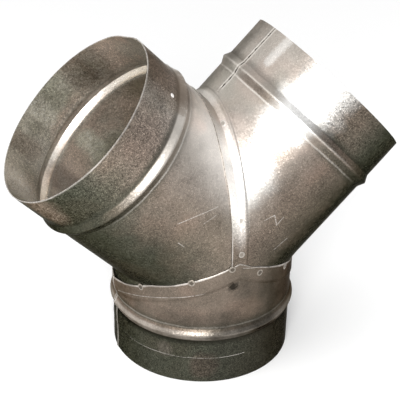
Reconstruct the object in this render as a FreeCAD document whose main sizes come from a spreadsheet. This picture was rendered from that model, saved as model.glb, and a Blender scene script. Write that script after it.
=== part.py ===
import FreeCAD, Part
import math
import os

import Sketcher

# Duct Y branch in galvanised sheet: an upright collar that forks into two branches, one diameter
# throughout. Three rolled pieces meet on mitred laps and are spot-welded through both sheets.
# Millimetres. The origin is the centre of the collar's rim, +Z runs up the collar's axis, and the
# fork lies in the XZ plane.

os.makedirs("parts", exist_ok=True)
doc = FreeCAD.newDocument("duct_y_branch")
vector = FreeCAD.Vector

SIZES = {
    # The duct that slips over each spigot, and the clearance left all round
    "duct_bore": 160.0,
    "slip_gap": 0.4,
    "sheet_gauge": 0.8,
    # Fork: branch lean from the upright, and axis lengths from the junction to each rim
    "branch_angle": 45.0,
    "trunk_height": 117.0,
    "branch_length": 161.0,
    # Rolled bead: crest to rim, width over its feet, and height of the crest
    "trunk_bead_setback": 49.0,
    "branch_bead_setback": 43.0,
    "bead_width": 12.6,
    "bead_height": 3.0,
    # Laps: collar over branches, and right branch over left on each side of the throat plane
    "collar_lap": 14.0,
    "throat_lap_left": 8.6,
    "throat_lap_right": 5.8,
    "joggle_run": 1.6,
    "sheet_clear": 0.05,
    "edge_gap": 0.4,
    # Lengthwise lap seam of each rolled sheet: the inner strip, and the groove at the outer cut edge
    "seam_lap": 12.0,
    "seam_groove_width": 0.6,
    "seam_groove_depth": 0.4,
    # Spot-weld dimples: angles are round the collar's axis, and round the right branch's axis,
    # and the inset is from the throat plane
    "weld_diameter": 5.6,
    "weld_depth": 0.2,
    "collar_weld_count": 12,
    "throat_weld_count": 4,
    "throat_weld_first": 4.0,
    "throat_weld_step": 21.0,
    "throat_weld_inset": 1.25,
}
sheet = doc.addObject("Spreadsheet::Sheet", "Sizes")
for row, (alias, number) in enumerate(SIZES.items(), start=1):
    sheet.set(f"A{row}", alias)
    sheet.set(f"B{row}", str(number))
    sheet.setAlias(f"B{row}", alias)
doc.recompute()


class Size:
    """A size that carries its sheet expression and its present value together. Angles are degrees."""

    def __init__(self, text, value):
        self.text = text
        self.value = value

    def joined(self, sign, other, value):
        return Size(f"({self.text} {sign} {as_size(other).text})", value)

    def __add__(self, other):
        return self.joined("+", other, self.value + as_size(other).value)

    def __sub__(self, other):
        return self.joined("-", other, self.value - as_size(other).value)

    def __mul__(self, other):
        return self.joined("*", other, self.value * as_size(other).value)

    def __truediv__(self, other):
        return self.joined("/", other, self.value / as_size(other).value)

    def sin(self):
        return Size(f"sin({self.text})", math.sin(math.radians(self.value)))

    def cos(self):
        return Size(f"cos({self.text})", math.cos(math.radians(self.value)))

    def tan(self):
        return Size(f"tan({self.text})", math.tan(math.radians(self.value)))

    def arctan(self):
        return Size(f"atan({self.text})", math.degrees(math.atan(self.value)))


def as_size(item):
    return item if isinstance(item, Size) else Size(str(item), item)


size = {alias: Size(f"Sizes.{alias}", number) for alias, number in SIZES.items()}
zero = Size("0", 0.0)
gauge = size["sheet_gauge"]
lean = size["branch_angle"]
height = size["trunk_height"]
length = size["branch_length"]
outer = size["duct_bore"] / 2 - size["slip_gap"]
inner = outer - gauge
margin_inner = outer + size["sheet_clear"]
margin_outer = margin_inner + gauge
mitre_slope = (lean / 2).tan()
reach = length * 2
full_turn = 360

# Bead: its feet shift along the axis with depth in the sheet, by the tangent of the flank's half lean,
# and its crest sinks by more than the depth because the flanks keep their gauge
bead_half = size["bead_width"] / 2
flank_lean = (size["bead_height"] / bead_half).arctan()
foot_shift = (flank_lean / 2).tan()
crest_sink = as_size(1) / flank_lean.cos()


def bind(item, path, what):
    """Ties one property of a document object to the sheet."""
    item.setExpression(path, as_size(what).text)


def arc_angle(run, radius):
    """Degrees that a run along the sheet takes up round a radius."""
    return run / radius * 180 / math.pi


def plane_sketch(body, name, role):
    """A sketch on one of the body's own origin planes, such as XZ_Plane."""
    sketch = body.newObject("Sketcher::SketchObject", name)
    plane = next(item for item in body.Origin.OriginFeatures if item.Role == role)
    sketch.AttachmentSupport = (plane, [""])
    sketch.MapMode = "FlatFace"
    return sketch


def hold_point(sketch, geometry, end, x, y, label):
    """Holds a sketch point at two coordinates, each bound to the sheet."""
    for kind, axis, coordinate in (("DistanceX", -2, x), ("DistanceY", -1, y)):
        if coordinate.value == 0:
            sketch.addConstraint(Sketcher.Constraint("PointOnObject", geometry, end, axis))
            continue
        index = sketch.addConstraint(Sketcher.Constraint(kind, -1, 1, geometry, end, coordinate.value))
        name = f"{label}_{kind[-1].lower()}"
        sketch.renameConstraint(index, name)
        bind(sketch, f"Constraints.{name}", coordinate)


def closed_outline(sketch, corners):
    """Straight lines through the corners and back to the first, every corner held."""
    points = [vector(x.value, y.value, 0) for x, y in corners]
    for start, end in zip(points, points[1:] + points[:1]):
        sketch.addGeometry(Part.LineSegment(start, end))
    for index in range(len(points)):
        sketch.addConstraint(Sketcher.Constraint("Coincident", index, 2, (index + 1) % len(points), 1))
    for index, (x, y) in enumerate(corners):
        hold_point(sketch, index, 1, x, y, f"corner_{index}")


def region(name, corners):
    """An outline in the XZ plane, drawn out along Y to both sides past the whole fitting."""
    body = doc.addObject("PartDesign::Body", name)
    sketch = plane_sketch(body, f"{name}_outline", "XZ_Plane")
    closed_outline(sketch, corners)
    pad = body.newObject("PartDesign::Pad", f"{name}_pad")
    pad.Profile = sketch
    pad.SideType = "Symmetric"
    bind(pad, "Length", reach)
    body.Tip = pad
    return body


def mitre_height(run, drop):
    """Height of the collar's mitre at a run out from the fork's middle, lowered by drop."""
    return height - run * mitre_slope - drop


def below_mitres(name, drop):
    """All that lies under the two mitres, lowered by drop."""
    foot = reach * -1
    return region(name, [
        (foot, mitre_height(reach, drop)),
        (zero, height - drop),
        (reach, mitre_height(reach, drop)),
        (reach, foot),
        (foot, foot),
    ])


def lap_band(name, left_run, right_run, top_drop, bottom_drop):
    """A chevron band that follows both mitres, from left_run to right_run of the fork's middle."""
    return region(name, [
        (left_run * -1, mitre_height(left_run, top_drop)),
        (zero, height - top_drop),
        (right_run, mitre_height(right_run, top_drop)),
        (right_run, mitre_height(right_run, bottom_drop)),
        (zero, height - bottom_drop),
        (left_run * -1, mitre_height(left_run, bottom_drop)),
    ])


def half_band(name, near_run, far_run, top_drop, bottom_drop):
    """A band that follows the right mitre alone."""
    return region(name, [
        (near_run, mitre_height(near_run, top_drop)),
        (far_run, mitre_height(far_run, top_drop)),
        (far_run, mitre_height(far_run, bottom_drop)),
        (near_run, mitre_height(near_run, bottom_drop)),
    ])


def above_mitre(name, side, near_run, far_run):
    """All that lies over one mitre between two runs out from the fork's middle."""
    return region(name, [
        (near_run * side, mitre_height(near_run, zero)),
        (far_run * side, mitre_height(far_run, zero)),
        (far_run * side, reach),
        (near_run * side, reach),
    ])


def lean_over(item, side, start):
    """Leans an upright object to one side of the junction, from start along its own axis."""
    turn = FreeCAD.Rotation(vector(0, side or 1, 0), lean.value)
    item.Placement = FreeCAD.Placement(vector(0, 0, 0), turn)
    bind(item, "Placement.Rotation.Angle", lean * abs(side))
    bind(item, "Placement.Base.x", start * lean.sin() * side)
    bind(item, "Placement.Base.z", height + start * (lean * side).cos())


def ring(name, inside, outside, side):
    """A long ring round the collar's axis (side 0) or a branch's axis (side -1 or 1)."""
    cylinders = []
    for label, radius in (("outside", outside), ("inside", inside)):
        cylinder = doc.addObject("Part::Cylinder", f"{name}_{label}")
        bind(cylinder, "Radius", radius)
        bind(cylinder, "Height", reach)
        lean_over(cylinder, side, length * -1)
        cylinders.append(cylinder)
    cut = doc.addObject("Part::Cut", name)
    cut.Base, cut.Tool = cylinders
    return cut


def common(name, base, tool):
    piece = doc.addObject("Part::Common", name)
    piece.Base = base
    piece.Tool = tool
    return piece


def beaded_wall(low, crest, high):
    """Corners along a wall with a bead: station, rise, and how depth shifts and sinks the corner."""
    return [
        (low, zero, 0, 1),
        (crest - bead_half, zero, 1, 1),
        (crest, size["bead_height"], 0, crest_sink),
        (crest + bead_half, zero, -1, 1),
        (high, zero, 0, 1),
    ]


def wall_section(body, name, corners, skin_out, skin_in, side):
    """Half section of a wall between two depths below the sheet's outer face.

    side is the side of the tube's axis on which the section lies.
    """
    def skin(depth):
        return [
            ((outer + rise - depth * sink) * side, station + depth * foot_shift * shift)
            for station, rise, shift, sink in corners
        ]

    sketch = plane_sketch(body, name, "XZ_Plane")
    closed_outline(sketch, skin(skin_out) + skin(skin_in)[::-1])
    return sketch


def rolled_tube(name, corners, side):
    """A sheet rolled round and lapped on one side of its axis.

    The wall goes all round, a strip inside is the lap, and a line cut into the outer face is the
    lap's outer edge.
    """
    body = doc.addObject("PartDesign::Body", name)
    layers = (
        ("wall", zero, gauge, as_size(full_turn)),
        ("seam_strip", gauge / 2, gauge * 2, arc_angle(size["seam_lap"], inner)),
    )
    for label, skin_out, skin_in, sweep in layers:
        sketch = wall_section(body, f"{name}_{label}_section", corners, skin_out, skin_in, side)
        layer = body.newObject("PartDesign::Revolution", f"{name}_{label}")
        layer.Profile = sketch
        layer.ReferenceAxis = (sketch, ["V_Axis"])
        bind(layer, "Angle", sweep)
    deep = (outer - size["seam_groove_depth"]) * side
    clear = (outer + size["seam_groove_depth"]) * side
    half = size["seam_groove_width"] / 2
    sketch = plane_sketch(body, f"{name}_seam_outline", "XY_Plane")
    closed_outline(sketch, [(deep, half * -1), (clear, half * -1), (clear, half), (deep, half)])
    groove = body.newObject("PartDesign::Pocket", f"{name}_seam_groove")
    groove.Profile = sketch
    groove.SideType = "Symmetric"
    bind(groove, "Length", reach * 2)
    body.Tip = groove
    return body


def weld_dimples(name, places):
    """Shallow many-sided tools, one at each (point, outward direction) of a lap's outer face."""
    tools = []
    for index, (point, direction) in enumerate(places):
        tool = doc.addObject("Part::Prism", f"{name}_{index}")
        tool.Polygon = weld_sides
        bind(tool, "Circumradius", size["weld_diameter"] / 2)
        bind(tool, "Height", size["weld_diameter"])
        floor = point - direction * size["weld_depth"].value
        tool.Placement = FreeCAD.Placement(floor, FreeCAD.Rotation(vector(0, 0, 1), direction))
        tools.append(tool)
    dimples = doc.addObject("Part::MultiFuse", name)
    dimples.Shapes = tools
    return dimples


def welded_piece(name, layers, dimples=None):
    """Joins a piece's layers into one sheet and presses its weld dimples."""
    joined = doc.addObject("Part::MultiFuse", name if dimples is None else f"{name}_sheet")
    joined.Shapes = layers
    joined.Refine = True
    if dimples is None:
        return joined
    piece = doc.addObject("Part::Cut", name)
    piece.Base = joined
    piece.Tool = dimples
    return piece


weld_sides = 8
edge_gap = size["edge_gap"]
collar_lap = size["collar_lap"]
joggle_run = size["joggle_run"]
throat_left = size["throat_lap_left"]
throat_right = size["throat_lap_right"]
tuck_run = throat_right - edge_gap

# Each rolled sheet is two solids that meet at the rim side of its bead: a plain spigot, which stays
# free for the duct that slips over it, and the rest
trunk_crest = size["trunk_bead_setback"]
trunk_wall = beaded_wall(zero, trunk_crest, height)
branch_crest = length - size["branch_bead_setback"]
branch_wall = beaded_wall(collar_lap * -1, branch_crest, length)

# Collar: beaded tube up to the lap, then a step out to the margin that laps outside the branches
trunk_spigot = rolled_tube("trunk_spigot", trunk_wall[:2], -1)
trunk_tube = rolled_tube("trunk_tube", trunk_wall[1:], -1)
trunk_below = common("trunk_wall_cut", trunk_tube, below_mitres("trunk_wall_region", collar_lap))
trunk_joggle = common(
    "trunk_joggle",
    ring("trunk_joggle_ring", inner, margin_outer, 0),
    lap_band("trunk_joggle_region", reach, reach, collar_lap, collar_lap + joggle_run),
)
trunk_margin = common(
    "trunk_margin",
    ring("trunk_margin_ring", margin_inner, margin_outer, 0),
    lap_band("trunk_margin_region", reach, reach, edge_gap, collar_lap + joggle_run),
)
collar_welds = []
for index in range(SIZES["collar_weld_count"]):
    angle = math.radians(full_turn * index / SIZES["collar_weld_count"])
    direction = vector(math.sin(angle), -math.cos(angle), 0)
    point = direction * margin_outer.value
    point.z = mitre_height(as_size(abs(point.x)), collar_lap / 2).value
    collar_welds.append((point, direction))
trunk_collar = welded_piece(
    "trunk_collar",
    [trunk_below, trunk_joggle, trunk_margin],
    weld_dimples("collar_weld", collar_welds),
)

# Left branch: beaded tube, a tuck that goes down inside the collar's margin, and a tuck that turns
# across the throat and under the right branch's margin
left_spigot = rolled_tube("left_spigot", branch_wall[-2:], 1)
lean_over(left_spigot, -1, zero)
left_tube = rolled_tube("left_tube", branch_wall[:-1], 1)
lean_over(left_tube, -1, zero)
left_wall = common("left_wall_cut", left_tube, above_mitre("left_wall_region", -1, zero, reach))
left_collar_tuck = common(
    "left_collar_tuck",
    ring("left_collar_tuck_ring", inner, outer, 0),
    lap_band("left_collar_tuck_region", reach, tuck_run, zero, collar_lap - edge_gap),
)
left_throat_tuck = common(
    "left_throat_tuck",
    ring("left_throat_tuck_ring", inner, outer, 1),
    above_mitre("left_throat_tuck_region", 1, zero, tuck_run),
)
left_branch = welded_piece("left_branch", [left_wall, left_collar_tuck, left_throat_tuck])

# Right branch: beaded tube, a tuck inside the collar's margin, and at the throat a step out to the
# margin that crosses the throat and ends as a cut edge on the left branch
right_spigot = rolled_tube("right_spigot", branch_wall[-2:], -1)
lean_over(right_spigot, 1, zero)
right_tube = rolled_tube("right_tube", branch_wall[:-1], -1)
lean_over(right_tube, 1, zero)
right_wall = common(
    "right_wall_cut",
    right_tube,
    above_mitre("right_wall_region", 1, throat_right, reach),
)
right_collar_tuck = common(
    "right_collar_tuck",
    ring("right_collar_tuck_ring", inner, outer, 0),
    half_band("right_collar_tuck_region", throat_right, reach, zero, collar_lap - edge_gap),
)
right_joggle = common(
    "right_joggle",
    ring("right_joggle_ring", inner, margin_outer, 1),
    above_mitre("right_joggle_region", 1, throat_right, throat_right + joggle_run),
)
right_margin = common(
    "right_margin",
    ring("right_margin_ring", margin_inner, margin_outer, 1),
    above_mitre("right_margin_region", 1, zero, throat_right + joggle_run),
)
right_edge = common(
    "right_edge",
    ring("right_edge_ring", margin_inner, margin_outer, -1),
    above_mitre("right_edge_region", -1, zero, throat_left),
)
sine, cosine = lean.sin().value, lean.cos().value
junction = vector(0, 0, height.value)
branch_axis = vector(sine, 0, cosine)
throat_side = vector(-cosine, 0, sine)
weld_inset = SIZES["throat_weld_inset"]
throat_welds = []
for face in (-1, 1):
    for index in range(SIZES["throat_weld_count"]):
        angle = math.radians(SIZES["throat_weld_first"] + index * SIZES["throat_weld_step"])
        direction = vector(0, face * math.cos(angle), 0) + throat_side * math.sin(angle)
        along = (weld_inset - margin_outer.value * direction.x) / sine
        point = junction + branch_axis * along + direction * margin_outer.value
        throat_welds.append((point, direction))
right_branch = welded_piece(
    "right_branch",
    [right_wall, right_collar_tuck, right_joggle, right_margin, right_edge],
    weld_dimples("throat_weld", throat_welds),
)

doc.recompute()
for item in doc.Objects:
    if "Invalid" in item.State or "Error" in item.State:
        raise RuntimeError(f"{item.Label} failed: {item.State}")
for tube in (trunk_spigot, trunk_tube, left_spigot, left_tube, right_spigot, right_tube):
    uncut = doc.getObject(f"{tube.Name}_seam_strip")
    if tube.Shape.Volume >= uncut.Shape.Volume:
        raise RuntimeError(f"the seam groove of {tube.Label} cuts nothing")
for piece in (trunk_spigot, trunk_collar, left_spigot, left_branch, right_spigot, right_branch):
    if piece.Shape.isNull() or not piece.Shape.isValid():
        raise RuntimeError(f"{piece.Label} has no valid shape")
    piece.Shape.exportStep(f"parts/{piece.Label}.step")
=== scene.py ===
import math

import bmesh
import bpy
import numpy as np
from mathutils import Matrix, Vector


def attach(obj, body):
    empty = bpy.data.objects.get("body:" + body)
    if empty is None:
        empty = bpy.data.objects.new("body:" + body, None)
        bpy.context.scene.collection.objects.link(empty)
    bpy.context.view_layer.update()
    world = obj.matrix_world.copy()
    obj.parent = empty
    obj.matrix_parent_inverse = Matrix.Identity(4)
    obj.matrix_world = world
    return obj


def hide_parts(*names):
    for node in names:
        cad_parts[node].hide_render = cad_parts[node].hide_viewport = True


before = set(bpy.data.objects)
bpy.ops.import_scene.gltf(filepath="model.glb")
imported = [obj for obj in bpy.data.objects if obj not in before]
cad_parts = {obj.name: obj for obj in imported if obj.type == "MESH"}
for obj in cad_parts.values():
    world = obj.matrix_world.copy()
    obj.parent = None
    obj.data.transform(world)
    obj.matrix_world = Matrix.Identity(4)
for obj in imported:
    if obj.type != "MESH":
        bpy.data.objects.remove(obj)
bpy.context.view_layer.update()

# The collar: a strip of galvanised steel rolled round an upright axis and lapped along its left
# side, with a bead rolled in above the rim. Its top is cut to two mitres and stepped out by one
# sheet's gauge, so that it laps over both branches and is spot-welded to them.
mm = 0.001
wall_radius = 79.6 * mm
sheet_gauge = 0.8 * mm
lap_step = 0.85 * mm
junction_height = 117 * mm
branch_lean = math.radians(45)
mitre_slope = math.tan(branch_lean / 2)
bead_half = 6.3 * mm
bead_height = 2.95 * mm
bead_rounding = 0.8 * mm
bead_rows = np.linspace(-8, 8, 37) * mm
columns_round = 300
collar_bead = 49 * mm
collar_lap = 13 * mm
collar_joggle = 4.5 * mm
seam_dip = 12 * mm
seam_dip_reach = math.radians(38)
seam_dip_round = math.radians(6)
collar_seam = math.radians(-91.5)
seam_pitch = 8 * mm
crease_height = 25 * mm


def ease(share):
    """A smooth rise from 0 to 1."""
    share = np.clip(share, 0, 1)
    return share * share * (3 - 2 * share)


def bead_rise(distance):
    """Height of the rolled bead at a distance from its crest, with a rounded crest and feet."""
    window = np.linspace(-1, 1, 15) * bead_rounding
    flank = np.clip(1 - np.abs(np.asarray(distance)[..., None] + window) / bead_half, 0, None)
    crest = np.clip(1 - np.abs(window) / bead_half, 0, None).mean()
    return bead_height * flank.mean(-1) / crest


def hand_rolled(turn, along, phase):
    """How far a rolled sheet falls short of a true cylinder: slow flats and waves, always inwards."""
    flats = 0.5 + 0.5 * np.sin(3 * turn + phase + along / (55 * mm))
    waves = 0.5 + 0.5 * np.sin(7 * turn - 2 * phase + along / (23 * mm))
    return (0.16 * flats + 0.07 * waves) * mm


def columns_with_seam(seam):
    """Angles round a sheet, from the back round the front to the back, with close ones at its seam."""
    even = np.linspace(-math.pi, math.pi, columns_round + 1)
    close = np.array([-6, -4, -2.6, -1.8, -1.2, -0.8, -0.5, -0.25, 0, 0.25, 0.5, 0.8, 1.2, 1.8, 2.6, 4, 6])
    close = seam + close * mm / wall_radius
    clear = np.abs(even - seam) > 7 * mm / wall_radius
    return np.sort(np.concatenate([even[clear], close]))


def press_sheet(name, patches, finishes):
    """One sheet of steel, from grids of points on its outer face.

    Each patch is (points, unrolled, turned): rows along the tube and columns round it, the same
    places on the flat sheet before it was rolled, and whether the grid runs the other way round.
    Patches join where their edges meet, and the gauge goes inwards. The finishes are of its outside,
    its cut edges and its inside.
    """
    same_place = 2e-6
    mesh = bmesh.new()
    flat_layer = mesh.loops.layers.uv.new("unrolled")
    for points, unrolled, turned in patches:
        rows, columns = points.shape[:2]
        corners = [[mesh.verts.new(point) for point in row] for row in points]
        for row in range(rows - 1):
            for column in range(columns - 1):
                quad = [(row, column), (row, column + 1), (row + 1, column + 1), (row + 1, column)]
                if turned:
                    quad.reverse()
                face = mesh.faces.new([corners[r][c] for r, c in quad])
                face.smooth = True
                for loop, place in zip(face.loops, quad):
                    loop[flat_layer].uv = unrolled[place]
    bmesh.ops.remove_doubles(mesh, verts=mesh.verts, dist=same_place)
    bmesh.ops.dissolve_degenerate(mesh, edges=mesh.edges, dist=same_place)
    data = bpy.data.meshes.new(name)
    mesh.to_mesh(data)
    mesh.free()
    for finish in finishes:
        data.materials.append(finish)
    piece = bpy.data.objects.new(name, data)
    bpy.context.scene.collection.objects.link(piece)
    gauge = piece.modifiers.new("gauge", "SOLIDIFY")
    gauge.thickness = sheet_gauge
    gauge.offset = -1
    gauge.use_even_offset = False
    gauge.material_offset_rim = 1
    gauge.material_offset = 2
    shaped = bpy.data.meshes.new_from_object(piece.evaluated_get(bpy.context.evaluated_depsgraph_get()))
    piece.modifiers.clear()
    piece.data = shaped
    shaped.name = name
    shaped.set_sharp_from_angle(angle=math.radians(34))
    return piece


class Shade:
    """A socket of a finish's node tree. Arithmetic on it adds Math nodes, and node() any other."""

    def __init__(self, tree, socket=None):
        self.tree = tree
        self.socket = socket

    def node(self, kind, settings, sockets, out=0):
        """Adds a node: its settings first, then values or links for its sockets."""
        made = self.tree.nodes.new(kind)
        for key, value in settings.items():
            setattr(made, key, value)
        for key, value in sockets.items():
            if isinstance(value, Shade):
                self.tree.links.new(value.socket, made.inputs[key])
            else:
                made.inputs[key].default_value = value
        return Shade(self.tree, made.outputs[out])

    def maths(self, operation, first, second=0.0, third=0.0, clamp=False):
        settings = {"operation": operation, "use_clamp": clamp}
        return self.node("ShaderNodeMath", settings, {0: first, 1: second, 2: third})

    def __add__(self, other):
        return self.maths("ADD", self, other)

    def __radd__(self, other):
        return self.maths("ADD", other, self)

    def __sub__(self, other):
        return self.maths("SUBTRACT", self, other)

    def __rsub__(self, other):
        return self.maths("SUBTRACT", other, self)

    def __mul__(self, other):
        return self.maths("MULTIPLY", self, other)

    def __rmul__(self, other):
        return self.maths("MULTIPLY", other, self)

    def __truediv__(self, other):
        return self.maths("DIVIDE", self, other)

    def __rtruediv__(self, other):
        return self.maths("DIVIDE", other, self)

    def clamped(self):
        return self.maths("ADD", self, 0.0, clamp=True)

    def larger(self, other):
        return self.maths("MAXIMUM", self, other)

    def band(self, low, high):
        """0 at low and 1 at high, smooth between them; low may be the higher of the two."""
        settings = {"interpolation_type": "SMOOTHSTEP"}
        return self.node("ShaderNodeMapRange", settings, {"Value": self, "From Min": low, "From Max": high})

    def vector(self, operation, first, second=(0, 0, 0), scale=1.0, out=0):
        sockets = {0: first, 1: second}
        if operation == "SCALE":
            sockets = {0: first, "Scale": scale}
        return self.node("ShaderNodeVectorMath", {"operation": operation}, sockets, out)

    def colour(self, share, low, high, blend="MIX"):
        settings = {"data_type": "RGBA", "blend_type": blend}
        return self.node("ShaderNodeMix", settings, {0: share, 6: low, 7: high}, 2)


def scored(shade, flat, width, scratches):
    """1 along scratches on the unrolled sheet, each a chain of stretches from (along, angle) to the next."""
    cover = None
    for scratch in scratches:
        for (along_a, angle_a), (along_b, angle_b) in zip(scratch, scratch[1:]):
            start = Vector((math.radians(angle_a) * wall_radius, along_a * mm, 0))
            end = Vector((math.radians(angle_b) * wall_radius, along_b * mm, 0))
            reach = end - start
            away = shade.vector("SUBTRACT", flat, start)
            share = shade.vector("DOT_PRODUCT", away, reach / reach.length_squared, out=1).clamped()
            nearest = shade.vector("SCALE", tuple(reach), scale=share)
            gap = shade.vector("DISTANCE", away, nearest, out=1)
            line = gap.band(width, width * 0.3)
            cover = line if cover is None else cover.larger(line)
    return cover


def marked(shade, zinc, turn, along, patch, grain, marks):
    """The zinc with burns, stains, rubs and painted highlights and shade on it, ragged along its patches and
    spangles.

    Each mark is (from, to, angle, radius, colour, share): a stretch along the tube at an angle, how far
    it spreads from there, and how strong its colour is.
    """
    for low, high, angle, radius, tint, share in marks:
        across = (turn - math.radians(angle)) * wall_radius
        beyond = (along - high * mm).larger(low * mm - along).larger(0.0)
        away = shade.maths("SQRT", across * across + beyond * beyond)
        away = away + (patch - 0.5) * (radius * mm) + (grain - 0.5) * (min(0.4 * radius, 2.0) * mm)
        zinc = shade.colour(away.band(radius * 1.15 * mm, radius * 0.4 * mm) * share, zinc, tint)
    return zinc


def seamed(shade, zinc, turn, along, grit, seam):
    """The zinc along a lap seam that starts at (angle, along): worn bright lips and dark, broken gaps."""
    angle, start = seam
    rubbed_lip, dark_gap = (0.56, 0.53, 0.49, 1), (0.025, 0.022, 0.018, 1)
    off_seam = shade.maths("ABSOLUTE", turn - angle) * wall_radius + (grit - 0.5) * (0.4 * mm)
    lapped = along.band(start, start + 3 * mm)
    open_gap = shade.maths("SINE", along * (math.tau / seam_pitch)).band(0.05, 0.45)
    lips = off_seam.band(3.0 * mm, 2.2 * mm) * off_seam.band(0.55 * mm, 0.85 * mm) * lapped
    zinc = shade.colour(lips * 0.65, zinc, rubbed_lip)
    gap = off_seam.band(0.95 * mm, 0.5 * mm) * lapped * (0.12 + open_gap * 0.88)
    return shade.colour(gap * 0.9, zinc, dark_gap)


def spangled(shade, place, spangle, speck):
    """The way the zinc faces: each spangle and speck tips the light its own way, over a fine ripple."""
    facing = shade.node("ShaderNodeNewGeometry", {}, {}, "Normal")
    tip = shade.vector("SCALE", shade.vector("SUBTRACT", spangle, (0.5, 0.5, 0.5)), scale=0.10)
    tick = shade.vector("SCALE", shade.vector("SUBTRACT", speck, (0.5, 0.5, 0.5)), scale=0.09)
    tipped = shade.vector("ADD", shade.vector("ADD", facing, tip), tick)
    tipped = shade.vector("NORMALIZE", tipped)
    ripple = shade.node("ShaderNodeTexNoise", {}, {"Vector": place, "Scale": 240, "Detail": 4})
    sockets = {"Strength": 0.12, "Distance": 0.4 * mm, "Height": ripple, "Normal": tipped}
    return shade.node("ShaderNodeBump", {}, sockets)


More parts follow.
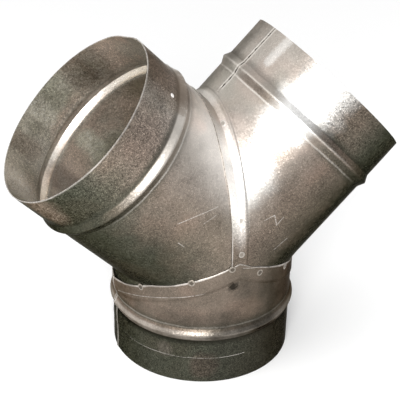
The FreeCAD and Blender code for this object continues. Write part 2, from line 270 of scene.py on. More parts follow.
def galvanised(name, lean, bead, mouth, seam, colours, wear, marks, scratches=None, brushing_and_glow=None,
               lap_edge=None):
    """Hot-dip zinc on rolled steel, with its spangles, clouds, stains and wear, and with painted light and
    shade.

    lean is how far up the top of the leaning tube faces, bead is where the bead's crest lies, mouth is
    which way the mouth lies from it, and seam is where the lap seam starts, as (angle, along).
    colours are painted shade for zinc that faces down, a middle tone for zinc that faces sideways, painted
    light for zinc that faces up, and the bright tone that the rolls gave the bead, which also paints the
    bead's highlight and a highlight line at its foot.
    wear tells which part of the bead the rolls made bright, from and to a distance past its crest towards
    the mouth; how much rougher that is than the sheet; how much painted shade lies on the flank away from
    the mouth; how much of the painted shade at the bead is lifted where the sheet faces up; how much
    painted shade darkens the spigot and deepens under the bead; how speckled the body and the spigot are;
    and how cloudy the zinc is.
    scratches are a width and chains on the unrolled sheet. The throat function gives how bright the sheet
    is painted near the throat, brush-cleaned for welding with a painted glow and highlight in it and painted
    shade along a step, and lap_edge the distance from a sheared edge, where it is worn to bare steel.
    """
    shaded_zinc, half_lit_zinc, lit_zinc, burnish_and_highlight = colours
    cloud_tint = (0.66, 0.70, 0.62, 1)
    stain_tint = (0.97, 0.85, 0.82, 1)
    # The near black below is painted shade, laid just past the bead on the mouth side.
    deep_shade = (0.012, 0.0125, 0.009, 1)
    # The pale tone below is partly brush-cleaned zinc and partly a painted glow and highlight at the throat.
    brushed_and_glow_zinc = (0.85, 0.812, 0.772, 1)
    scratched_zinc = (0.60, 0.565, 0.525, 1)
    bare_steel = (0.64, 0.60, 0.56, 1)
    bright_from, bright_to = wear["bright"]
    finish = bpy.data.materials.new(name)
    finish.use_nodes = True
    tree = finish.node_tree
    steel = tree.nodes["Principled BSDF"]
    shade = Shade(tree)
    place = shade.node("ShaderNodeTexCoord", {}, {}, "Object")
    flat = shade.node("ShaderNodeUVMap", {"uv_map": "unrolled"}, {})
    turn = shade.node("ShaderNodeSeparateXYZ", {}, {"Vector": flat}, "X") / wall_radius
    along = shade.node("ShaderNodeSeparateXYZ", {}, {"Vector": flat}, "Y")
    spangle = shade.node("ShaderNodeTexVoronoi", {}, {"Vector": place, "Scale": 760}, "Color")
    speck = shade.node("ShaderNodeTexVoronoi", {}, {"Vector": place, "Scale": 1700}, "Color")
    grain = shade.node("ShaderNodeSeparateColor", {}, {"Color": spangle})
    grit = shade.node("ShaderNodeSeparateColor", {}, {"Color": speck})
    fleck = shade.node("ShaderNodeSeparateColor", {}, {"Color": speck}, "Blue").band(0.86, 0.96)
    patch = shade.node("ShaderNodeTexNoise", {}, {"Vector": place, "Scale": 46, "Detail": 5})
    cloud = shade.node("ShaderNodeTexNoise", {}, {"Vector": place, "Scale": 14, "Detail": 3})
    stain = shade.node("ShaderNodeTexNoise", {}, {"Vector": place, "Scale": 23, "Detail": 2})

    spigot = along.band(bead + mouth * 6 * mm, bead + mouth * 11 * mm)
    # Painted light and shade: the zinc is painted lighter where the tube faces up, darker where it faces
    # down, and darker on the spigot.
    painted_light_share = shade.maths("SINE", turn) * lean + (patch - 0.5) * 0.25 - spigot * wear["spigot_shade"]
    zinc = shade.colour(painted_light_share.band(-0.45, 0.10), shaded_zinc, half_lit_zinc)
    zinc = shade.colour(painted_light_share.band(0.0, 0.5), zinc, lit_zinc)
    rough = 0.42 + (grain - 0.5) * 0.12 + (patch - 0.5) * 0.2
    # Partly brush-cleaning for welding, partly a painted glow of reflected light and a painted highlight at
    # the throat.
    if brushing_and_glow:
        brush_and_glow = brushing_and_glow(shade, turn, along)
        zinc = shade.colour(brush_and_glow, zinc, brushed_and_glow_zinc)
    cloudy = wear["cloudy"]
    zinc = shade.colour(cloud.band(0.46, 0.66) * cloudy, zinc, cloud_tint, "MULTIPLY")
    zinc = shade.colour(stain.band(0.45, 0.65) * (0.15 + cloudy), zinc, stain_tint, "MULTIPLY")

    past_crest = (along - bead) * mouth + (patch - 0.5) * (2.0 * mm)
    # The rolls' bright tone on the bead is kept to where the zinc faces up, so it is partly a painted
    # highlight.
    burnish = past_crest.band((bright_from - 1.3) * mm, (bright_from + 0.9) * mm)
    burnish = burnish * past_crest.band((bright_to + 1.3) * mm, (bright_to - 0.9) * mm)
    burnish = burnish * painted_light_share.band(-0.2, 0.15)
    zinc = shade.colour(burnish * 0.7, zinc, burnish_and_highlight)
    rough = rough + burnish * wear["coarser"]
    # Painted shade in the bead's concave feet and on its flank away from the mouth, lifted where the zinc
    # faces up, and deeper painted shade just past the bead on the mouth side.
    off_crest = shade.maths("ABSOLUTE", past_crest)
    feet = off_crest.band(4.8 * mm, 6.4 * mm) * off_crest.band(13 * mm, 7.0 * mm)
    mouth_side = past_crest.band(0.0, 2 * mm)
    flank = past_crest.band(-6.6 * mm, -5.2 * mm) * past_crest.band(-0.6 * mm, -2.2 * mm)
    bead_shade = (feet * (0.55 + mouth_side * 0.2)).larger(flank * wear["flank_shade"])
    zinc = shade.colour(bead_shade * (1.0 - painted_light_share.band(0.0, 0.5) * wear["lifted_where_lit"]), zinc, shaded_zinc)
    zinc = shade.colour(feet * mouth_side * (wear["spigot_shade"] * 1.6), zinc, deep_shade)
    # Painted highlight: a thin bright line along the bead's foot away from the mouth.
    foot_highlight = shade.maths("ABSOLUTE", past_crest + 7.2 * mm).band(1.0 * mm, 0.4 * mm)
    foot_highlight = foot_highlight * (painted_light_share.band(-0.5, 0.2) * 0.45 + painted_light_share.band(0.2, 0.5) * 0.35)
    zinc = shade.colour(foot_highlight, zinc, burnish_and_highlight)
    zinc = marked(shade, zinc, turn, along, patch, grain, marks)

    mottle = (grain - 0.5) * 0.55 + (grit - 0.5) * 0.6 + fleck * 0.95
    speckle = wear["body_speckle"] + spigot * (wear["spigot_speckle"] - wear["body_speckle"])
    speckle = speckle * (1.0 - burnish * 0.5)
    # Painted light: the speckle is smoothed where the zinc is painted lighter for facing up.
    smoothed_where_lit = painted_light_share.band(0.0, 0.45) * (0.8 + spigot * (wear["lifted_where_lit"] - 0.8))
    tone = 1.0 + mottle * speckle * (1.0 - smoothed_where_lit) + (patch - 0.5) * 0.6
    zinc = shade.colour(1.0, zinc, tone, "MULTIPLY")
    zinc = seamed(shade, zinc, turn, along, grit, seam)
    if scratches:
        line = scored(shade, flat, *scratches)
        line = line * grit.band(0.0, 0.4) * (0.55 + patch.band(0.42, 0.54) * 0.45)
        zinc = shade.colour(line * 0.75, zinc, scratched_zinc)
        rough = rough + line * 0.1
    if lap_edge:
        worn = (lap_edge(shade, turn, along) + (grit - 0.5) * (0.5 * mm)).band(1.9 * mm, 1.2 * mm)
        zinc = shade.colour(worn * (0.3 + patch.band(0.4, 0.6) * 0.4), zinc, bare_steel)
    if brushing_and_glow:
        rough = rough + brush_and_glow * 0.1
        tree.links.new((1.0 - brush_and_glow * 0.7).socket, steel.inputs["Metallic"])
    else:
        steel.inputs["Metallic"].default_value = 1.0
    tree.links.new(zinc.socket, steel.inputs["Base Color"])
    tree.links.new(rough.clamped().socket, steel.inputs["Roughness"])
    tree.links.new(spangled(shade, place, spangle, speck).socket, steel.inputs["Normal"])
    steel.inputs["Specular Tint"].default_value = (0.25, 0.24, 0.22, 1)
    return finish


def raw_edge():
    """The sheared edge of the sheet: bare bright steel with fine drag marks."""
    finish = bpy.data.materials.new("sheared_edge")
    finish.use_nodes = True
    tree = finish.node_tree
    steel = tree.nodes["Principled BSDF"]
    shade = Shade(tree)
    place = shade.node("ShaderNodeTexCoord", {}, {}, "Object")
    drag = shade.node("ShaderNodeTexNoise", {}, {"Vector": place, "Scale": 900, "Detail": 3})
    bright = shade.colour(drag.band(0.3, 0.7), (0.22, 0.20, 0.175, 1), (0.56, 0.53, 0.49, 1))
    tree.links.new(bright.socket, steel.inputs["Base Color"])
    tree.links.new((0.34 + drag * 0.2).socket, steel.inputs["Roughness"])
    steel.inputs["Metallic"].default_value = 1.0
    return finish


sheared_edge = raw_edge()
branch_bead = 118 * mm
inside_colours = ((0.55, 0.52, 0.46, 1), (0.62, 0.59, 0.525, 1), (0.66, 0.63, 0.565, 1),
                  (0.90, 0.88, 0.84, 1))
inside_wear = {"bright": (-4.6, 4.6), "coarser": 0.0, "flank_shade": 0.0, "lifted_where_lit": 0.5, "spigot_shade": 0.0,
               "body_speckle": 0.5, "spigot_speckle": 0.6, "cloudy": 0.75}
inside_sheen = (0.95, 0.92, 0.86, 1)
pale_patch = (0.92, 0.90, 0.80, 1)
inside_light_spot = (0.92, 0.95, 0.84, 1)
brown_stain = (0.24, 0.185, 0.145, 1)
deep_stain = (0.22, 0.16, 0.125, 1)
tan_stain = (0.33, 0.26, 0.20, 1)
# Painted light inside: a pale sheen near the rim and a pale light spot deep in the mouth.
inside_marks = [
    (144, 160, -104, 24, inside_sheen, 0.8), (138, 156, -163, 11, pale_patch, 0.5),
    (84, 98, -166, 13, inside_light_spot, 0.6), (134, 166, 149, 17, brown_stain, 0.4),
    (140, 166, 164, 15, brown_stain, 0.5), (85, 105, -133, 17, deep_stain, 0.6),
    (136, 156, -139, 11, tan_stain, 0.45),
]
seam_out_of_sight = (math.pi, 1.0)
inside_zinc = galvanised("inside_zinc", lean=0.0, bead=branch_bead, mouth=1, seam=seam_out_of_sight,
                         colours=inside_colours, wear=inside_wear, marks=inside_marks)

collar_turn = columns_with_seam(collar_seam)
seam_run = (collar_turn - collar_seam) * wall_radius


def collar_row(height, radius):
    """Points round the collar, at a height and a radius that may change from column to column."""
    stand_off = (0.8 + 0.35 * np.sin(height / (5.1 * mm))) * mm
    seam_lift = np.where(seam_run >= 0, stand_off * np.exp(-np.clip(seam_run, 0, None) / (4.5 * mm)), 0)
    crumple = 1.7 * mm * np.exp(-((height - 70 * mm) / (11 * mm)) ** 2)
    crumple = crumple * np.exp(-((collar_turn - collar_seam) / math.radians(8)) ** 2)
    sway = math.radians(0.9) * np.sin(height / (6.5 * mm)) * np.exp(-(seam_run / (9 * mm)) ** 2)
    turn = collar_turn + sway
    reach = radius + seam_lift + crumple - hand_rolled(collar_turn, height, phase=0.4)
    points = np.stack([reach * np.sin(turn), -reach * np.cos(turn), height + 0 * turn], -1)
    return points, np.stack([collar_turn * wall_radius, height + 0 * turn], -1)


def collar_rows():
    """Rows of the collar from its rim up over the bead and the stepped margin to its sheared top."""
    rows = []
    crease = [-2.4, -1.4, -0.8, -0.4, 0, 0.4, 0.8, 1.4, 2.4]
    heights = [0.1, 0.7, 2, 5, 9, 13, 17, 20.5, *(25 + step for step in crease), 30, 34, 38]
    fade = ease((math.radians(34) - collar_turn) / math.radians(46))
    for height in heights:
        ridge = 0.22 * mm * math.exp(-((height * mm - crease_height) / (0.7 * mm)) ** 2)
        below = -0.10 * mm * ease((crease_height - height * mm) / (1.5 * mm))
        rows.append(collar_row(height * mm, wall_radius + (ridge + below) * fade))
    for step in bead_rows:
        rows.append(collar_row(collar_bead + step, wall_radius + bead_rise(step)))
    off_seam = np.hypot(collar_turn - collar_seam, seam_dip_round)
    dip = seam_dip * np.clip(1 - off_seam / seam_dip_reach, 0, None)
    mitre = junction_height - wall_radius * np.abs(np.sin(collar_turn)) * mitre_slope - dip
    lap = collar_lap - dip / 4
    low = collar_bead + bead_rows[-1]
    high = mitre - lap - collar_joggle
    for share in np.linspace(0, 1, 17)[1:]:
        rows.append(collar_row(low + (high - low) * share, wall_radius))
    for share in np.linspace(0, 1, 15)[1:]:
        rows.append(collar_row(high + collar_joggle * share, wall_radius + lap_step * ease(share)))
    low = mitre - lap
    shear = (0.2 * np.sin(collar_turn * 11 + 0.6) + 0.12 * np.sin(collar_turn * 29)) * mm
    notch = 1.3 * mm * np.exp(-((collar_turn - math.radians(8)) / math.radians(9)) ** 2)
    high = mitre + 0.2 * mm + shear - notch
    for share in (0.1, 0.2, 0.3, 0.4, 0.5, 0.6, 0.7, 0.8, 0.88, 0.93, 0.95, 0.97, 0.985, 1.0):
        burr = 0.25 * mm * max(0, (share - 0.93) / 0.07) ** 2
        rows.append(collar_row(low + (high - low) * share, wall_radius + lap_step - burr))
    return rows


collar_grid = collar_rows()
collar_patch = (np.array([row[0] for row in collar_grid]), np.array([row[1] for row in collar_grid]), False)
# The collar's darkest tone is painted shade on its spigot; the brightest is the bead's, which also paints
# its highlight.
collar_colours = ((0.056, 0.057, 0.043, 1), (0.164, 0.132, 0.106, 1), (0.36, 0.33, 0.295, 1),
                  (0.47, 0.435, 0.39, 1))
collar_wear = {"bright": (-3.2, 5.4), "coarser": -0.11, "flank_shade": 0.0, "lifted_where_lit": 0.0,
               "spigot_shade": 0.52, "body_speckle": 0.38, "spigot_speckle": 1.05, "cloudy": 0.35}
scribed_crease = [[(24.6, -74), (24.9, -50), (24.7, -31)], [(25.2, -30), (24.8, -14)],
                  [(24.8, -13), (25.1, 6)]]
scribed_lap = [[(64.2, -85.4), (72.8, -67.8), (78.2, -55.4), (82.2, -45), (85.4, -35.5), (88.5, -26.5),
                (90.7, -20.6)],
               [(111.8, 2.5), (109.6, 9.5), (108.2, 15)]]
collar_scratches = 0.38 * mm, scribed_crease + scribed_lap
soot = (0.016, 0.014, 0.011, 1)
reddish_stain = (0.13, 0.085, 0.07, 1)
pale_rub = (0.15, 0.13, 0.11, 1)
# The dark tone over the front of the collar's spigot is painted shade.
spigot_shade_zinc = (0.032, 0.031, 0.025, 1)
painted_shade_zinc = (0.05, 0.044, 0.035, 1)
lap_dirt = (0.05, 0.046, 0.036, 1)
# The darkest brown tone paints shade: over the collar's right side and in a band just above its bead.
collar_marks = [
    (95, 95, -3.5, 4.8, soot, 0.92), (112.3, 112.3, -4.7, 2.6, soot, 0.8),
    (16, 16, -20, 15, reddish_stain, 0.3), (30, 30, -45, 9, pale_rub, 0.4),
    (6, 34, 6, 40, spigot_shade_zinc, 0.45), (40, 80, 60, 90, painted_shade_zinc, 0.55),
    (60, 72, 22, 17, lap_dirt, 0.3),
]
# Painted shade in a band just above the collar's bead.
collar_marks += [(61, 63, angle, 13, painted_shade_zinc, 0.33) for angle in range(-44, 4, 8)]


def collar_lap_edge(shade, turn, along):
    """Distance down from the collar's sheared top, which dips at its seam."""
    fall = shade.maths("ABSOLUTE", shade.maths("SINE", turn)) * (wall_radius * mitre_slope)
    off_seam = turn - collar_seam
    off_seam = shade.maths("SQRT", off_seam * off_seam + seam_dip_round ** 2)
    dip = (1.0 - off_seam / seam_dip_reach).larger(0.0) * seam_dip
    return junction_height + 0.4 * mm - fall - dip - along


collar_zinc = galvanised("collar_zinc", lean=0.0, bead=collar_bead, mouth=-1, seam=(collar_seam, -1.0),
                         colours=collar_colours, wear=collar_wear, marks=collar_marks,
                         scratches=collar_scratches, lap_edge=collar_lap_edge)
collar = press_sheet("collar_sheet", [collar_patch], [collar_zinc, sheared_edge, inside_zinc])
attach(collar, "root")
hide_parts("trunk_collar", "trunk_spigot")

# The left branch: a rolled sheet that leans 45 degrees from the collar, with its seam at the top of
# the throat. Its foot tucks down inside the collar's margin, and its throat edge tucks under the
# right branch's margin, so none of its cut edges shows but the rim.
branch_length = 161 * mm
lean_sine, lean_cosine = math.sin(branch_lean), math.cos(branch_lean)
left_seam = math.radians(97)
left_turn = columns_with_seam(left_seam)
collar_tuck = 13.6 * mm
throat_tuck = 4.8 * mm
hair = 1e-9


def branch_points(side, turn, along, radius):
    """Points on a branch. Angle 0 faces front and a quarter turn on faces the throat."""
    out = -side * lean_cosine * np.sin(turn)
    x = side * lean_sine * along + radius * out
    z = junction_height + lean_cosine * along + radius * lean_sine * np.sin(turn)
    return np.stack([x, -radius * np.cos(turn), z], -1)


def flat_places(turn, along):
    """The same points on the flat sheet before it was rolled."""
    return np.stack([turn * wall_radius, along + 0 * turn], -1)


def along_at(run, turn, radius):
    """Distance up a branch's axis at which its surface lies a run out from the throat plane."""
    return (run + radius * np.sin(turn) * lean_cosine) / lean_sine


def mitre_run(turn, radius):
    """How far out from the throat plane a branch's foot starts at each angle."""
    return np.clip(-radius * np.sin(turn), 0, None)


def seam_line(turn, seam, along, start):
    """The branch seam pressed into the sheet: a broken groove between two raised lips."""
    run = (turn - seam) * wall_radius
    dash = 0.5 + 0.5 * np.tanh(3 * np.sin(math.tau * along / seam_pitch))
    groove = -0.5 * mm * np.exp(-(run / (0.75 * mm)) ** 4) * dash
    lips = 0.22 * mm * np.exp(-((np.abs(run) - 1.6 * mm) / (0.7 * mm)) ** 2)
    return (groove + lips) * ease((along - start) / (3 * mm))


def branch_tube(side, turn, foot_rows, seam, phase, knocks):
    """Rows of a branch from the last of its foot rows up over the bead to the rim.

    knocks are (angle, along, half width round, half length, height) of dents and soft creases.
    """
    rows = list(foot_rows)
    start = rows[-1][1][:, 1]
    low, high = branch_bead + bead_rows[0], branch_bead + bead_rows[-1]
    doubled = 1 - 0.5 * np.exp(-((turn - seam) * wall_radius / (7 * mm)) ** 2)

    def row(along, rise):
        radius = wall_radius + rise + seam_line(turn, seam, along, start)
        radius = radius - hand_rolled(turn, along, phase) * ease((along - start) / (12 * mm))
        sprung = 0.5 + 0.5 * np.sin(5 * turn + 2 * phase)
        radius = radius - 0.3 * mm * sprung * ease((along - 132 * mm) / (29 * mm))
        for angle, reach, across, length, height in knocks:
            near = ((turn - math.radians(angle)) * wall_radius / (across * mm)) ** 2
            near = near + ((along - reach * mm) / (length * mm)) ** 2
            radius = radius + height * mm * np.exp(-near)
        return branch_points(side, turn, along, radius), flat_places(turn, along)

    for share in np.linspace(0, 1, 41)[1:]:
        rows.append(row(start + (low - start) * share, 0))
    for step in bead_rows[1:]:
        rows.append(row(branch_bead + step + 0 * turn, bead_rise(step) * doubled))
    for share in (0.04, 0.1, 0.2, 0.3, 0.4, 0.5, 0.6, 0.7, 0.8, 0.88, 0.94, 0.98, 1.0):
        rows.append(row(high + (branch_length - high) * share + 0 * turn, 0))
    return np.array([made[0] for made in rows]), np.array([made[1] for made in rows])


def tuck_down(side, turn, depth):
    """The strip of a branch's foot that is dressed down inside the collar's margin."""
    along = along_at(mitre_run(turn, wall_radius), turn, wall_radius)
    edge = branch_points(side, turn, along, wall_radius)
    drops = np.linspace(0, 1, 7)[::-1] * depth
    points = np.stack([edge - np.array([0, 0, drop]) for drop in drops])
    return points, np.stack([flat_places(turn, along - drop) for drop in drops]), side > 0


def left_throat_tuck(turn):
    """The strip at the throat that turns across it and lies under the right branch's margin."""
    runs = np.linspace(0, 1, 7) * throat_tuck
    points = [branch_points(1, turn, along_at(run, turn, wall_radius), wall_radius) for run in runs]
    places = [flat_places(turn, along_at(0, turn, wall_radius) - run) for run in runs]
    return np.array(points), np.array(places), True


left_start = along_at(mitre_run(left_turn, wall_radius), left_turn, wall_radius)
left_foot = [(branch_points(-1, left_turn, left_start, wall_radius), flat_places(left_turn, left_start))]
left_knocks = [(108, 166, 11, 22, -1.4), (126, 166, 8, 16, 0.25), (50, 131, 7, 5, -0.3),
               (62, 120, 9, 9, -0.35)]
left_points, left_places = branch_tube(-1, left_turn, left_foot, left_seam, phase=1.7, knocks=left_knocks)
# Painted shade for zinc that faces down, a middle tone, painted light for zinc that faces up, and the bead's
# bright tone, which also paints its highlight.
left_colours = ((0.066, 0.066, 0.050, 1), (0.190, 0.154, 0.125, 1), (0.405, 0.364, 0.322, 1),
                (0.56, 0.53, 0.49, 1))
left_wear = {"bright": (-0.6, 5.4), "coarser": 0.08, "flank_shade": 0.5, "lifted_where_lit": 0.3, "spigot_shade": 0.12,
             "body_speckle": 0.8, "spigot_speckle": 1.3, "cloudy": 0.35}
left_scratches = 0.5 * mm, [[(72, -3.8), (64.4, 5.3), (52, 17.9)], [(53.4, 5.3), (48.7, 13.9)],
                            [(58.3, -12.8), (51.4, -12.6)]]
warm_rub = (0.30, 0.235, 0.19, 1)
bright_rub = (0.42, 0.37, 0.32, 1)
brown_top = (0.155, 0.114, 0.082, 1)
unburnished = (0.21, 0.17, 0.135, 1)
left_marks = [
    (144, 154, -56, 19, warm_rub, 0.55), (131, 131, 49, 7, bright_rub, 0.5),
    (132, 168, 68, 30, brown_top, 0.75),
]
left_marks += [(121, 123, angle, 5.5, unburnished, 0.6) for angle in range(50, 90, 5)]


def throat_brushing_and_glow(shade, turn, along, brushing_and_glow, step_shade):
    """How bright a branch is painted at its throat: a painted glow of reflected light beside it, and the
    margin strip, brush-cleaned for welding and painted as highlight, with painted shade along the margin's
    step.
    """
    upper = shade.maths("SINE", turn)
    off_throat = along * lean_sine - upper * (lean_cosine * wall_radius)
    brush_and_glow = off_throat.band(70 * mm, 4 * mm) * upper.band(0.2, 0.8) * brushing_and_glow
    strip = off_throat.band(9.0 * mm, 6.5 * mm) * upper.band(0.05, 0.4)
    brush_and_glow = brush_and_glow.larger(strip * (0.4 + upper.band(1.0, 0.7) * 0.55))
    step = off_throat.band(3.6 * mm, 5.4 * mm) * off_throat.band(9.0 * mm, 7.4 * mm)
    return brush_and_glow * (1.0 - step * upper.band(0.0, 0.15) * step_shade)


def left_throat_glow(shade, turn, along):
    """The left throat, painted bright all over with a glow of light reflected from the right branch."""
    return throat_brushing_and_glow(shade, turn, along, brushing_and_glow=0.85, step_shade=0.0)


def left_rim_edge(shade, turn, along):
    """Distance down from the left branch's rim."""
    return branch_length + 0.7 * mm - along


left_zinc = galvanised("left_zinc", lean=lean_sine, bead=branch_bead, mouth=1, seam=(left_seam, 84 * mm),
                       colours=left_colours, wear=left_wear, marks=left_marks, scratches=left_scratches,
                       brushing_and_glow=left_throat_glow, lap_edge=left_rim_edge)
left = press_sheet("left_branch_sheet", [
    (left_points, left_places, False),
    tuck_down(-1, left_turn[left_turn <= hair], collar_tuck),
    left_throat_tuck(left_turn[left_turn >= -hair]),
], [left_zinc, sheared_edge, inside_zinc])
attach(left, "root")
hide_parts("left_branch", "left_spigot")

# The right branch: the same rolled sheet leaning the other way. At the throat its edge is stepped out
# by one gauge, crosses the throat and ends as a sheared edge on the left branch, spot-welded through.
right_seam = math.radians(87)
right_turn = columns_with_seam(right_seam)
margin_run = 5.2 * mm
margin_joggle = 2.4 * mm
margin_over = 7.4 * mm
margin_widening = 2.0 * mm
margin_radius = wall_radius + lap_step


def right_foot():
    """Rows from the throat plane out over the lapping margin and down its step."""
    rows = []
    start = mitre_run(right_turn, wall_radius)
    for run in np.concatenate([np.linspace(0, 1, 7) * margin_run,
                               margin_run + np.linspace(0, 1, 9)[1:] * margin_joggle]):
        run = np.maximum(run, start)
        radius = margin_radius - lap_step * ease((run - margin_run) / margin_joggle)
        along = along_at(run, right_turn, radius)
        rows.append((branch_points(1, right_turn, along, radius), flat_places(right_turn, along)))
    return rows


def right_edge():
    """The end of the margin, over the throat and on the left branch."""
    spread = math.asin(margin_over / margin_radius)
    facing = right_turn[right_turn >= -hair]
    before = np.linspace(-spread, 0, 8)[:-1]
    turn = np.concatenate([before, facing, math.pi - before[::-1]])
    shear = (0.35 * np.sin(turn * 9 + 1.0) + 0.2 * np.sin(turn * 23)) * mm
    width = margin_over + margin_widening * ease(np.abs(np.sin(turn)) / 0.9) + shear * 0.7
    points, places = [], []
    for share in (0, 0.2, 0.4, 0.6, 0.8, 0.92, 1.0):
        run = np.maximum(share * width, mitre_run(turn, margin_radius))
        along = along_at(run, turn, margin_radius)
        points.append(branch_points(-1, turn, along, margin_radius))
        places.append(flat_places(turn, along_at(0, turn, margin_radius) - run))
    return np.array(points), np.array(places), False


right_knocks = [(71.5, 150, 2.8, 18, 0.4), (80, 104, 12, 7, -0.3), (30, 92, 16, 16, -0.25)]
right_points, right_places = branch_tube(1, right_turn, right_foot(), right_seam, phase=3.1,
                                         knocks=right_knocks)
tucked = right_turn[-np.sin(right_turn) * wall_radius >= margin_run + margin_joggle]
# Painted shade for zinc that faces down, a middle tone, painted light for zinc that faces up, and the bead's
# bright tone, which also paints its highlight.
right_colours = ((0.052, 0.053, 0.040, 1), (0.150, 0.119, 0.095, 1), (0.32, 0.293, 0.262, 1),
                 (0.48, 0.45, 0.41, 1))
right_wear = {"bright": (-0.4, 0.6), "coarser": 0.0, "flank_shade": 0.6, "lifted_where_lit": 0.8, "spigot_shade": 0.2,
              "body_speckle": 0.9, "spigot_speckle": 1.35, "cloudy": 0.35}
right_scratches = 0.5 * mm, [[(40, 7.6), (48.4, 4.9), (43.2, -1), (51.9, -0.8)],
                             [(26.4, -13.7), (40.3, -15.6)], [(160, 18.5), (146.3, 18)]]
highlight_zinc = (0.59, 0.578, 0.555, 1)
bead_highlight_zinc = (0.72, 0.71, 0.69, 1)
crest_highlight_zinc = (0.96, 0.955, 0.94, 1)
# Painted highlights: the lamp's reflection on the right spigot, body and bead, and a painted streak of
# reflection along the soft crease on the spigot.
right_marks = [
    (138, 160, 33, 29, highlight_zinc, 0.8), (46, 60, 33, 24, highlight_zinc, 0.7), (137, 161, 71.5, 5.6, highlight_zinc, 0.55),
    (110, 128, 37, 27, bead_highlight_zinc, 0.75), (120, 126, 37, 18, crest_highlight_zinc, 0.85),
]


def right_margin_brushing_and_shade(shade, turn, along):
    """The right throat, brush-cleaned along its margin, which also paints its highlight, with painted shade
    where the margin steps out.
    """
    return throat_brushing_and_glow(shade, turn, along, brushing_and_glow=0.08, step_shade=0.75)


def right_lap_edge(shade, turn, along):
    """Distance back from the sheared edge of the right branch's margin."""
    sine = shade.maths("SINE", turn)
    width = margin_over + sine.band(0.0, 0.9) * margin_widening
    return width + 0.9 * mm + along - sine * margin_radius


right_zinc = galvanised("right_zinc", lean=lean_sine, bead=branch_bead, mouth=1, seam=(right_seam, 93 * mm),
                        colours=right_colours, wear=right_wear, marks=right_marks,
                        scratches=right_scratches, brushing_and_glow=right_margin_brushing_and_shade, lap_edge=right_lap_edge)
right = press_sheet("right_branch_sheet", [
    (right_points, right_places, True),
    tuck_down(1, tucked, collar_tuck),
    right_edge(),
], [right_zinc, sheared_edge, inside_zinc])
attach(right, "root")
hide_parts("right_branch", "right_spigot")

# The spot welds: marks that the welding tips pressed into the outer sheet of each lap, a raised lip
# round a shallow dish that the heat has tinted.
weld_rings = np.array([0.0, 0.6, 1.1, 1.6, 1.95, 2.2, 2.5, 2.8, 3.1]) * mm
weld_lip = np.array([0.05, 0.05, 0.05, 0.07, 0.13, 0.17, 0.14, 0.05, -0.10]) * mm
weld_sides = 22
collar_welds = [(-62.3, 84.2), (-28.7, 100.5), (-4.7, 112.3), (14.2, 102.9), (39.8, 93.2), (70, 79.5),
                (100, 77), (130, 84), (158, 97), (-170, 105), (-142, 89), (-112, 72)]
throat_welds_low = [3.6, 176]
throat_welds_high = [18.7, 43, 66, 112, 137, 160]
weld_inset = 1.0 * mm


def pressed_spots(name, spots, radii, heights, finish):
    """Round marks in one mesh, each at (point, outward, along the tube's axis), turned from a profile."""
    mesh = bmesh.new()
    spread = mesh.loops.layers.uv.new("unrolled")
    for point, outward, axis in spots:
        across = axis.cross(outward)
        rings = []
        for reach, lip in zip(radii, heights):
            ring = []
            for step in range(weld_sides):
                angle = step * math.tau / weld_sides
                sideways = reach * math.cos(angle)
                fall = sideways * sideways / (2 * wall_radius)
                place = point + across * sideways + axis * reach * math.sin(angle) + outward * (lip - fall)
                ring.append(mesh.verts.new(place))
            rings.append(ring)
        for inner, outer, near, far in zip(rings, rings[1:], radii, radii[1:]):
            for step in range(weld_sides):
                after = (step + 1) % weld_sides
                face = mesh.faces.new([inner[step], outer[step], outer[after], inner[after]])
                face.smooth = True
                for loop, reach in zip(face.loops, (near, far, far, near)):
                    loop[spread].uv = (reach, step / weld_sides)
    bmesh.ops.remove_doubles(mesh, verts=mesh.verts, dist=1e-6)
    bmesh.ops.recalc_face_normals(mesh, faces=mesh.faces)
    data = bpy.data.meshes.new(name)
    mesh.to_mesh(data)
    mesh.free()
    data.materials.append(finish)
    piece = bpy.data.objects.new(name, data)
    bpy.context.scene.collection.objects.link(piece)
    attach(piece, "root")


def heat_tint(name, burnt, pressed, around, dull):
    """Zinc burnt off inside a weld mark, a bright pressed lip and the sheet round it.

    dull is how much of the mark is oxide, which isn't metallic.
    """
    finish = bpy.data.materials.new(name)
    finish.use_nodes = True
    tree = finish.node_tree
    steel = tree.nodes["Principled BSDF"]
    shade = Shade(tree)
    place = shade.node("ShaderNodeTexCoord", {}, {}, "Object")
    spread = shade.node("ShaderNodeUVMap", {"uv_map": "unrolled"}, {})
    reach = shade.node("ShaderNodeSeparateXYZ", {}, {"Vector": spread})
    grain = shade.node("ShaderNodeTexNoise", {}, {"Vector": place, "Scale": 900, "Detail": 3})
    lip = (reach + (grain - 0.5) * (2.2 * mm)).band(1.4 * mm, 2.2 * mm)
    zinc = shade.colour(lip, burnt, pressed)
    zinc = shade.colour(reach.band(2.3 * mm, 3.0 * mm) * 0.7, zinc, around)
    tree.links.new(zinc.socket, steel.inputs["Base Color"])
    tree.links.new((0.3 + grain * 0.25).socket, steel.inputs["Roughness"])
    steel.inputs["Metallic"].default_value = 1 - dull
    return finish


def branch_spot(side, angle, along, radius):
    """A place on a branch for a mark, with the way out of the sheet and the way along the tube."""
    turn = math.radians(angle)
    outward = Vector((-side * lean_cosine * math.sin(turn), -math.cos(turn), lean_sine * math.sin(turn)))
    point = Vector(branch_points(side, turn, along, radius))
    return point, outward, Vector((side * lean_sine, 0, lean_cosine))


collar_spots = []
for angle, height in collar_welds:
    outward = Vector((math.sin(math.radians(angle)), -math.cos(math.radians(angle)), 0))
    collar_spots.append((outward * margin_radius + Vector((0, 0, height * mm)), outward, Vector((0, 0, 1))))


def throat_spots(angles):
    """Places along the right branch's margin, at angles round the branch."""
    places = []
    for angle in angles:
        along = float(along_at(weld_inset, math.radians(angle), margin_radius))
        places.append(branch_spot(1, angle, along, margin_radius))
    return places


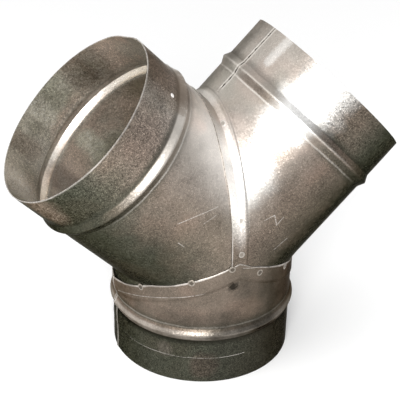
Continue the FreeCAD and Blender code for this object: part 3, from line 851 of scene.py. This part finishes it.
collar_heat = heat_tint("collar_weld_zinc", (0.10, 0.085, 0.068, 1), (0.32, 0.285, 0.245, 1),
                        (0.19, 0.16, 0.13, 1), dull=0.0)
front_heat = heat_tint("front_weld_zinc", (0.24, 0.21, 0.18, 1), (0.38, 0.35, 0.315, 1),
                       (0.22, 0.19, 0.16, 1), dull=0.0)
throat_heat = heat_tint("throat_weld_zinc", (0.40, 0.37, 0.335, 1), (0.60, 0.57, 0.53, 1),
                        (0.42, 0.39, 0.355, 1), dull=0.25)
pressed_spots("collar_welds", collar_spots, weld_rings, weld_lip, collar_heat)
pressed_spots("throat_welds_low", throat_spots(throat_welds_low), weld_rings, weld_lip, front_heat)
pressed_spots("throat_welds_high", throat_spots(throat_welds_high), weld_rings, weld_lip, throat_heat)

# Zinc spatter: one bright bead of molten zinc that landed on the left spigot and froze there, fused to
# the sheet's own zinc.
pip_rings = np.array([0.0, 0.5, 1.0, 1.4, 1.7, 1.95]) * mm
pip_heights = np.array([0.80, 0.75, 0.56, 0.30, 0.08, -0.15]) * mm
# The pip's near-white is partly its own bright zinc and partly a painted glint.
pip_zinc_and_glint = (0.92, 0.89, 0.86, 1)
bright_zinc = heat_tint("spatter_zinc", pip_zinc_and_glint, pip_zinc_and_glint, (0.8, 0.77, 0.73, 1), dull=0.3)
pip_spot = branch_spot(-1, 56, 132.5 * mm, wall_radius)
pressed_spots("zinc_spatter", [pip_spot], pip_rings, pip_heights, bright_zinc)

# The studio: a wide pale floor under the collar's rim, pale surroundings, and one large soft lamp
# beside the camera.
floor_half = 6.0
floor_mesh = bpy.data.meshes.new("studio_floor")
floor_mesh.from_pydata([(-floor_half, -floor_half, 0), (floor_half, -floor_half, 0),
                        (floor_half, floor_half, 0), (-floor_half, floor_half, 0)], [], [(0, 1, 2, 3)])
floor = bpy.data.objects.new("studio_floor", floor_mesh)
bpy.context.scene.collection.objects.link(floor)
floor_paint = bpy.data.materials.new("pale_floor")
floor_paint.use_nodes = True
floor_coat = floor_paint.node_tree.nodes["Principled BSDF"]
floor_coat.inputs["Base Color"].default_value = (0.90, 0.90, 0.90, 1)
floor_coat.inputs["Roughness"].default_value = 0.9
floor_coat.inputs["Specular IOR Level"].default_value = 0.1
floor_mesh.materials.append(floor_paint)

surroundings = bpy.data.worlds.new("studio")
surroundings.use_nodes = True
sky = Shade(surroundings.node_tree)
ray = sky.node("ShaderNodeTexCoord", {}, {}, "Generated")
window_side = (-0.781, 0.209, 0.588)
window = sky.vector("DOT_PRODUCT", ray, window_side, out=1).band(0.2, 0.95)
backdrop = surroundings.node_tree.nodes["Background"]
surroundings.node_tree.links.new((0.5 + window * 1.25).socket, backdrop.inputs["Color"])
bpy.context.scene.world = surroundings

lamp_side = Vector((-0.37, -0.81, 0.45)).normalized()
lamp_distance = 1.3
fitting_middle = Vector((0, 0, 0.14))
lamp_data = bpy.data.lights.new("key_lamp", "AREA")
lamp_data.shape = "DISK"
lamp_data.size = 0.62
lamp_data.energy = 19
lamp = bpy.data.objects.new("key_lamp", lamp_data)
lamp.location = fitting_middle + lamp_side * lamp_distance
lamp.rotation_mode = "QUATERNION"
lamp.rotation_quaternion = lamp_side.to_track_quat("Z", "Y")
bpy.context.scene.collection.objects.link(lamp)

# The camera: a short telephoto in front, a little to the left and above, tilted as the photograph is.
# It stands where the fit to the rims, mitres and silhouettes puts it.
camera_data = bpy.data.cameras.new("camera")
camera_data.lens = 94.606
camera_data.sensor_width = 36
camera = bpy.data.objects.new("camera", camera_data)
bpy.context.scene.collection.objects.link(camera)
azimuth, elevation, roll = math.radians(-22.843), math.radians(27.996), math.radians(1.486)
back = Vector((math.sin(azimuth) * math.cos(elevation), -math.cos(azimuth) * math.cos(elevation),
               math.sin(elevation)))
level = (-back).cross(Vector((0, 0, 1))).normalized()
rise = level.cross(-back)
sideways = level * math.cos(roll) + rise * math.sin(roll)
upwards = rise * math.cos(roll) - level * math.sin(roll)
aim = Vector((-3.224, 0, 136.229)) * mm
camera_distance = 913.9
eye = aim + back * camera_distance * mm
camera.matrix_world = Matrix((
    (sideways.x, upwards.x, back.x, eye.x),
    (sideways.y, upwards.y, back.y, eye.y),
    (sideways.z, upwards.z, back.z, eye.z),
    (0, 0, 0, 1),
))
bpy.context.scene.camera = camera
bpy.context.scene.view_settings.view_transform = "Standard"
